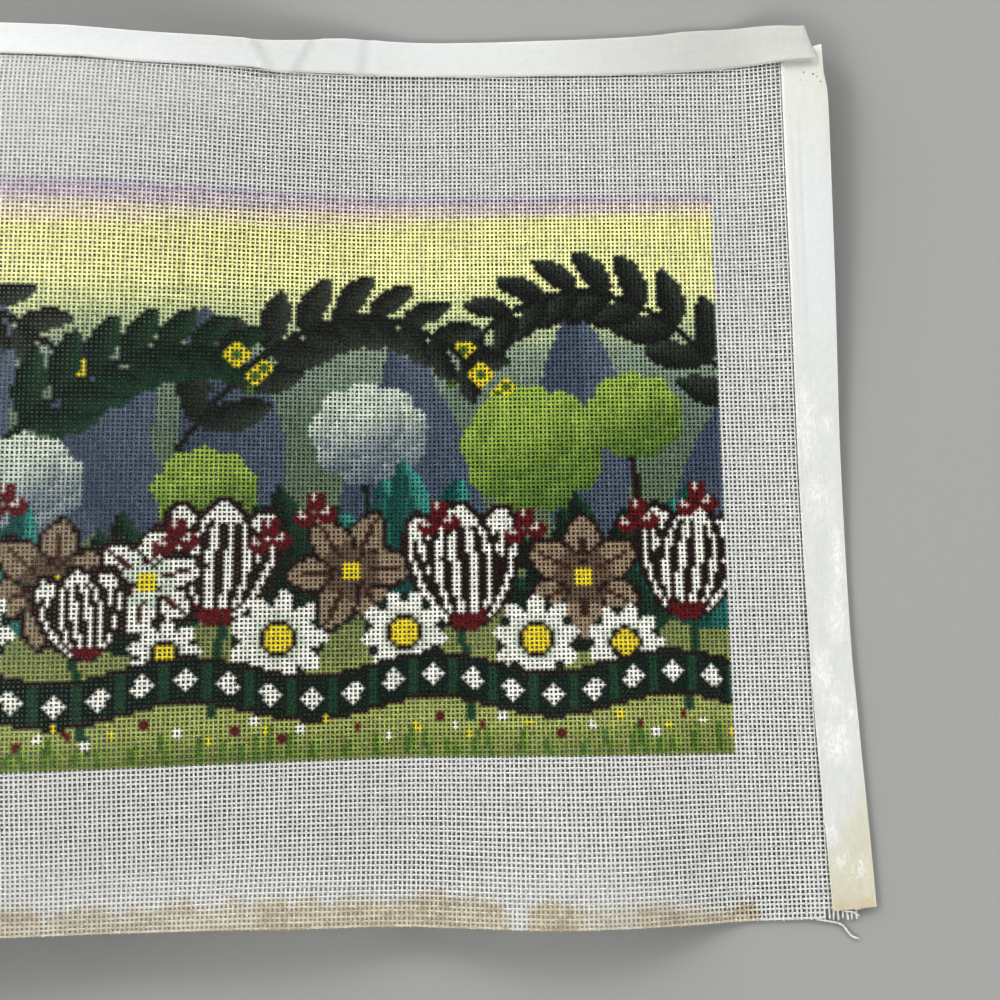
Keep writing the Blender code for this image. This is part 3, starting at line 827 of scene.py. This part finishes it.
def tape_object(name, x, y, off, wear_and_painted_light, node):
    """A tape from its grid of places on the cloth and how far it stands off it."""
    points = np.stack([x, y, cloth_height(x, y)], -1) + cloth_ways(x, y)[2] * off[..., None]
    points[..., 2] = np.maximum(points[..., 2], TAPE_THICK / 2 + TABLE_GAP)
    long, wide = x.shape
    number = np.arange(long * wide).reshape(long, wide)
    quads = np.stack([number[:-1, :-1], number[1:, :-1], number[1:, 1:], number[:-1, 1:]], -1).reshape(-1, 4)
    mesh = smooth_mesh(name, points.reshape(-1, 3), quads.tolist(), tape_white)
    chart = mesh.uv_layers.new(name="OFBake")
    share = np.meshgrid(np.linspace(0.01, 0.99, long), np.linspace(0.01, 0.99, wide), indexing="ij")
    chart.data.foreach_set("uv", np.stack(share, -1).reshape(-1, 2)[quads.ravel()].ravel())
    color_points(mesh, "wear_and_painted_light", wear_and_painted_light)
    piece = placed(name, mesh)
    body = piece.modifiers.new("thickness", "SOLIDIFY")
    body.thickness = TAPE_THICK * MM
    body.offset = 0.0
    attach(piece, "root")
    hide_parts(node)


# The top tape. Soft creases run across it where the panel was bent, with painted shade in their hollows, its
# free edge stands open here and there with painted shade along it, and its right end is cut aslant, a little
# warmer and darkened with painted shade.
TOP_LEFT_END, TOP_RIGHT_END, TOP_STATIONS = -191.8, 188.6, 201
TOP_RIGHT_SLANT, SLANT_REACH, SLANT_MIDDLE = -0.26, 10, 141.0
SIDES_UNDER, SIDES_FADE, SIDES_LIFT = 15, 8, 0.25
Crease = namedtuple("Crease", "x y lean deep wide")
CREASES = [
    Crease(-3.9, 141.7, 0.62, 0.35, 3.0), Crease(1.5, 137.0, 0.55, -0.30, 3.4),
    Crease(20.5, 144.6, -0.66, 0.38, 3.4), Crease(15.0, 139.0, -0.5, -0.28, 3.0),
    Crease(39.6, 146.7, -0.10, 0.36, 3.2), Crease(34.8, 140.0, -0.1, -0.22, 3.2),
    Crease(-60.0, 140.0, 0.5, 0.22, 6.0), Crease(96.0, 140.0, 0.3, 0.16, 7.0),
    Crease(142.0, 141.0, -0.4, 0.2, 6.0), Crease(-130.0, 140.0, -0.3, 0.2, 7.0),
]
OPEN_EDGE = [(-14, 0.0), (2, 0.6), (14, 0.05), (168, 0.05), (184, 1.1), (190, 0.9)]
PRESSED = 0.04
SHADED_FROM, SHADED_FADE, SHADED_DARK, SHADED_WARM = 162, 85, 0.17, 0.22
stations = np.linspace(TOP_LEFT_END, TOP_RIGHT_END, TOP_STATIONS)
radius = FLAP_OFF + SIDES_LIFT * fade((HALF_WIDE - SIDES_UNDER - np.abs(stations)) / SIDES_FADE)
fold_y = edge_line(TOP_OUTER, stations) - radius - TAPE_THICK / 2
inward, off, on_front, from_fold, edge_shade = fold_section(fold_y - edge_line(TOP_INNER, stations), radius)
tape_x = np.repeat(stations[:, None], inward.shape[1], axis=1)
tape_y = fold_y[:, None] - inward
near_end = np.clip((tape_x - TOP_RIGHT_END) / SLANT_REACH + 1, 0, 1)
tape_x = tape_x + near_end * TOP_RIGHT_SLANT * (tape_y - SLANT_MIDDLE)
# the crease hollows get painted shade as well as their relief
crease_shade = np.zeros_like(tape_x)
for crease in CREASES:
    across_it = tape_x - crease.x + crease.lean * (tape_y - crease.y)
    off = off + on_front * crease.deep * bump(across_it / crease.wide)
    hollow_shade = max(-crease.deep, 0) * on_front * bump(across_it / (0.9 * crease.wide))
    crease_shade = np.maximum(crease_shade, hollow_shade)
off = off + from_fold**3 * on_front * (edge_line(OPEN_EDGE, tape_x) - PRESSED)
# painted shade darkens the right end, and the crease hollows and free edge get painted shade too
shaded = fade((SHADED_FROM - tape_x) / SHADED_FADE)
warm = SHADED_WARM * shaded + 0.05 * wander(tape_x.shape, 0, 40)
shade = (1 - SHADED_DARK * shaded) * edge_shade * (1 - 0.5 * crease_shade)
wear_and_painted_light = tape_wear_and_painted_light(warm, 0 * warm, shade, 0 * warm, np.full(warm.shape, 0.06))
tape_object("tape_over_top", tape_x, tape_y, off, wear_and_painted_light, "tape_top")

# The side tapes, crinkled and yellowed towards the bottom, where hands have held them, with a painted
# highlight on their rubbed patches and painted shade by their free edges. Both end a little short of the raw
# edge, and their top ends lie under the top tape.
SIDE_TOP_END, SIDE_TOP_SLANT, SIDE_TOP_REACH = 138.6, 0.25, 5
SIDE_BOTTOM_END, SIDE_BOTTOM_SLANT, SIDE_BOTTOM_REACH, SIDE_STATIONS = -145.3, 0.09, 10, 160
LEFT_OUTER, LEFT_FLAP, LEFT_WAVE, LEFT_WAVE_LONG = -194.3, 14.0, 0.5, 37
# Rubbed patches: crinkled, glossier, and paled by a painted highlight
Rub = namedtuple("Rub", "y from_fold long wide strong")
RUBS_AND_HIGHLIGHTS = [
    Rub(9, 0.75, 19, 0.30, 0.85), Rub(8, 0.28, 5, 0.20, 0.7), Rub(-16, 0.55, 12, 0.50, 0.55),
    Rub(-36, 0.18, 15, 0.22, 0.95), Rub(-54, 0.30, 12, 0.34, 0.85), Rub(-73, 0.72, 12, 0.34, 0.95),
    Rub(-81, 0.50, 8, 0.28, 0.8), Rub(-86, 0.10, 5, 0.18, 0.8), Rub(-94, 0.50, 10, 0.55, 0.95),
    Rub(-121, 0.85, 7, 0.18, 0.7), Rub(-132, 0.28, 6, 0.26, 0.9), Rub(-130, 0.70, 4, 0.28, 0.7),
]
# Warm tones: where each ends or starts, over how far it fades, and how strong it is
YELLOWED_TO, YELLOWED_SLANT, YELLOWED_FADE, YELLOWED_WARM = -123, 20, 26, 0.72
HANDLED_TO, HANDLED_FADE, HANDLED_WARM = 10, 45, 0.06
WARM_FROM, WARM_FADE, WARM_TOP = 130, 45, 0.30
TAN_END, TAN_FADE = 0.7, 6
# Two faint lines, where the edges below show through: how far in and how wide, and the stretch they keep to
SHOWING = [(9.6, 1.2), (12.2, 1.0)]
SHOWING_FROM, SHOWING_FADE_IN, SHOWING_TO, SHOWING_FADE_OUT, SHOWING_DARK = 50, 20, 100, 25, 0.06
stations = np.linspace(SIDE_BOTTOM_END, SIDE_TOP_END, SIDE_STATIONS)
left_outer = np.full(SIDE_STATIONS, LEFT_OUTER)
left_inner = LEFT_OUTER + LEFT_FLAP + LEFT_WAVE * np.sin(stations / LEFT_WAVE_LONG)
for name, node, side, outer, inner in (
    ("tape_over_right", "tape_right", 1, edge_line(RIGHT_OUTER, stations), edge_line(RIGHT_INNER, stations)),
    ("tape_over_left", "tape_left", -1, left_outer, left_inner),
):
    fold_x = outer - side * (FLAP_OFF + TAPE_THICK / 2)
    front = side * (fold_x - inner)
    inward, off, on_front, from_fold, edge_shade = fold_section(front, np.full(SIDE_STATIONS, FLAP_OFF))
    tape_x = fold_x[:, None] - side * inward
    tape_y = np.repeat(stations[:, None], inward.shape[1], axis=1)
    near_bottom = np.clip((SIDE_BOTTOM_END - tape_y) / SIDE_BOTTOM_REACH + 1, 0, 1)
    near_top = np.clip((tape_y - SIDE_TOP_END) / SIDE_TOP_REACH + 1, 0, 1)
    slant = near_bottom * SIDE_BOTTOM_SLANT + near_top * SIDE_TOP_SLANT
    tape_y = tape_y + (front.mean() / 2 - inward) * slant
    rub_and_highlight = np.zeros_like(tape_x)
    for rub in RUBS_AND_HIGHLIGHTS:
        patch = bump((tape_y - rub.y) / rub.long) * bump((from_fold - rub.from_fold) / rub.wide)
        rub_and_highlight = np.maximum(rub_and_highlight, rub.strong * patch)
    crinkle = wander(tape_x.shape, 0, 3) + 0.6 * rng.normal(size=tape_x.shape)
    off = off + on_front * (0.05 * wander(tape_x.shape, 0, 26) + 0.06 * rub_and_highlight * crinkle)
    off = off - from_fold**3 * on_front * PRESSED
    yellowed = fade((tape_y - YELLOWED_TO + YELLOWED_SLANT * from_fold) / YELLOWED_FADE)
    handled = fade((tape_y - HANDLED_TO) / HANDLED_FADE)
    warm = WARM_TOP * fade((WARM_FROM - tape_y) / WARM_FADE)
    warm = warm + YELLOWED_WARM * yellowed + HANDLED_WARM * handled
    tan = TAN_END * fade((tape_y - SIDE_BOTTOM_END) / TAN_FADE) + 0.06 * yellowed
    showing = sum(bump((inward - inset) / wide) for inset, wide in SHOWING)
    showing = showing * fade((SHOWING_FROM - tape_y) / SHOWING_FADE_IN)
    showing = showing * fade((tape_y - SHOWING_TO) / SHOWING_FADE_OUT)
    # painted shade by the free edge; the showing lines and the handled, yellowed parts are darker in tone
    shade = (1 - SHOWING_DARK * showing) * edge_shade * (1 - 0.03 * (handled + yellowed))
    gloss = np.clip(0.12 * handled + rub_and_highlight, 0, 1)
    # the rubbed patches are paled by a painted highlight
    wear_and_painted_light = tape_wear_and_painted_light(warm, tan, shade, 0.35 * rub_and_highlight * (1 - 0.4 * yellowed), gloss)
    tape_object(name, tape_x, tape_y, off, wear_and_painted_light, node)

# ----------------------------------------------------------------------
# Loose threads: at the bottom right corner one long weft has slipped out and lies in a loose S on the
# table, a short one stands out beside it, and their cut ends are frayed.
# ----------------------------------------------------------------------
LONG_WEFT = [
    (176.0, -148.25, 0.55), (178.2, -148.6, 0.5), (180.4, -149.0, 0.45), (182.9, -149.6, 0.42),
    (184.4, -150.6, 0.4), (185.7, -152.4, 0.38), (187.0, -153.6, 0.38), (189.0, -154.35, 0.42),
]
SHORT_WEFT = [(184.0, -145.9, 0.9), (186.2, -146.0, 1.05), (187.9, -146.5, 0.9), (189.3, -147.4, 0.6)]
SHORT_WISP = [(186.0, -144.6, 0.9), (188.2, -145.3, 1.0), (189.6, -145.2, 1.0), (190.6, -144.8, 0.9)]


def loose_thread(route, half_thick, sides=10, steps=70, plies=2, turns=11):
    """A two-ply thread along a smooth route, thinner towards its cut end."""
    thin_from, thin, ply_swell = 0.86, 0.45, 0.16
    knots = np.array(route, float)
    t = np.linspace(0, len(knots) - 1, steps)
    k = np.clip(t.astype(int), 0, len(knots) - 2)
    f = (t - k)[:, None]
    before, after = knots[np.maximum(k - 1, 0)], knots[np.minimum(k + 2, len(knots) - 1)]
    here, there = knots[k], knots[k + 1]
    line = here + 0.5 * (there - before) * f + 0.5 * (2 * before - 5 * here + 4 * there - after) * f**2
    line = line + 0.5 * (3 * here - before - 3 * there + after) * f**3
    run = unit(np.gradient(line, axis=0))
    side = unit(np.cross(run, [0.0, 0.0, 1.0]))
    up = np.cross(side, run)
    share = np.linspace(0, 1, steps)[:, None]
    angle = np.linspace(0, 2 * math.pi, sides, endpoint=False)[None, :]
    thick = half_thick * (1 - thin * np.clip((share - thin_from) / (1 - thin_from), 0, 1) ** 2)
    thick = thick * (1 + ply_swell * np.cos(plies * angle - 2 * math.pi * turns * share))
    sideways, upwards = (thick * np.cos(angle))[..., None], (thick * np.sin(angle))[..., None]
    points = line[:, None] + side[:, None] * sideways + up[:, None] * upwards
    number = np.arange(steps * sides).reshape(steps, sides)
    a, b = number[:-1], number[1:]
    quads = np.stack([a, np.roll(a, -1, axis=1), np.roll(b, -1, axis=1), b], -1).reshape(-1, 4).tolist()
    return points.reshape(-1, 3), quads + [number[0, ::-1].tolist(), number[-1].tolist()]


def thread_object(name, strands):
    """Several strands as one piece."""
    points, faces, count = [], [], 0
    for strand_points, strand_faces in strands:
        points.append(strand_points)
        faces += [[v + count for v in face] for face in strand_faces]
        count += len(strand_points)
    points = np.concatenate(points)
    mesh = smooth_mesh(name, points, faces, canvas_finish)
    tones = BARE * (0.97 + 0.03 * np.sin(points[:, :1] * 3))
    color_points(mesh, "paint", np.concatenate([tones, 0 * tones[:, :1]], -1))
    piece = placed(name, mesh)
    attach(piece, "root")
    return piece


loose = thread_object("slipped_weft", [loose_thread(LONG_WEFT, 0.30)])
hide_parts("loose_thread")
thread_object("short_weft_ends", [
    loose_thread(SHORT_WEFT, 0.26, steps=24, turns=3), loose_thread(SHORT_WISP, 0.22, steps=24, turns=3)])

# ----------------------------------------------------------------------
# The setting: a plain pale table, one soft lamp at the left, a low band of light all round the room, and a
# camera almost straight above.
# ----------------------------------------------------------------------
TABLE_TONE, TABLE_SIZE = seen(0.705, 0.705, 0.70), 60.0
table_finish = bpy.data.materials.new("pale_table")
table_finish.use_nodes = True
table_shader = table_finish.node_tree.nodes["Principled BSDF"]
table_shader.inputs["Base Color"].default_value = (*TABLE_TONE, 1.0)
table_shader.inputs["Roughness"].default_value = 0.85
table_mesh = bpy.data.meshes.new("table")
corners = [(x * TABLE_SIZE / 2, y * TABLE_SIZE / 2, 0) for x, y in ((-1, -1), (1, -1), (1, 1), (-1, 1))]
table_mesh.from_pydata(corners, [], [(0, 1, 2, 3)])
table_mesh.materials.append(table_finish)
placed("table", table_mesh)

key_light = bpy.data.lights.new("window_light", "AREA")
key_light.energy, key_light.size = 10.0, 0.8
lamp = placed("window_light", key_light)
lamp.location = (-1.5, 1.5, 0.65)
lamp.rotation_mode = "QUATERNION"
lamp.rotation_quaternion = lamp.location.to_track_quat("Z", "Y")

# The band of light, 18 to 30 degrees up: low enough to leave the holes of the weave dark
ROOM_LIGHT = 2.65
BAND = [(0.0, 0.38), (0.28, 0.38), (0.34, 1.0), (0.48, 1.0), (0.58, 0.01)]
world = bpy.data.worlds.new("soft_room")
world.use_nodes = True
nodes, links = world.node_tree.nodes, world.node_tree.links
way, height = nodes.new("ShaderNodeTexCoord"), nodes.new("ShaderNodeSeparateXYZ")
band = nodes.new("ShaderNodeValToRGB")
band.color_ramp.interpolation = "EASE"
for at, _ in BAND[1:-1]:
    band.color_ramp.elements.new(at)
for stop, (at, tone) in zip(band.color_ramp.elements, BAND):
    stop.position, stop.color = at, (tone, tone, tone, 1.0)
wire(
    links, (way, "Generated", height, "Vector"), (height, "Z", band, "Fac"),
    (band, "Color", nodes["Background"], "Color"),
)
nodes["Background"].inputs["Strength"].default_value = ROOM_LIGHT
bpy.context.scene.world = world
bpy.context.scene.view_settings.view_transform = "Standard"
bpy.context.scene.view_settings.look = "Very High Contrast"

# Its place in the cloth's frame, its tilt, roll and spin in radians, and its lens by the picture's width
CAMERA_AT = (76.16, -65.47, 356.4)
CAMERA_TURN = (-0.141380, 0.009459, 0.015560)
PICTURE_WIDE, LENS_SHARE = 36, 1.09667
camera_data = bpy.data.cameras.new("camera")
camera_data.lens = PICTURE_WIDE * LENS_SHARE
camera_data.clip_start = 0.01
camera = placed("camera", camera_data)
tilt, roll, spin = CAMERA_TURN
aim = Matrix.Rotation(-tilt, 4, "X") @ Matrix.Rotation(-roll, 4, "Y") @ Matrix.Rotation(-spin, 4, "Z")
camera.matrix_world = Matrix.Translation(in_row(CAMERA_AT)) @ aim
bpy.context.scene.camera = camera
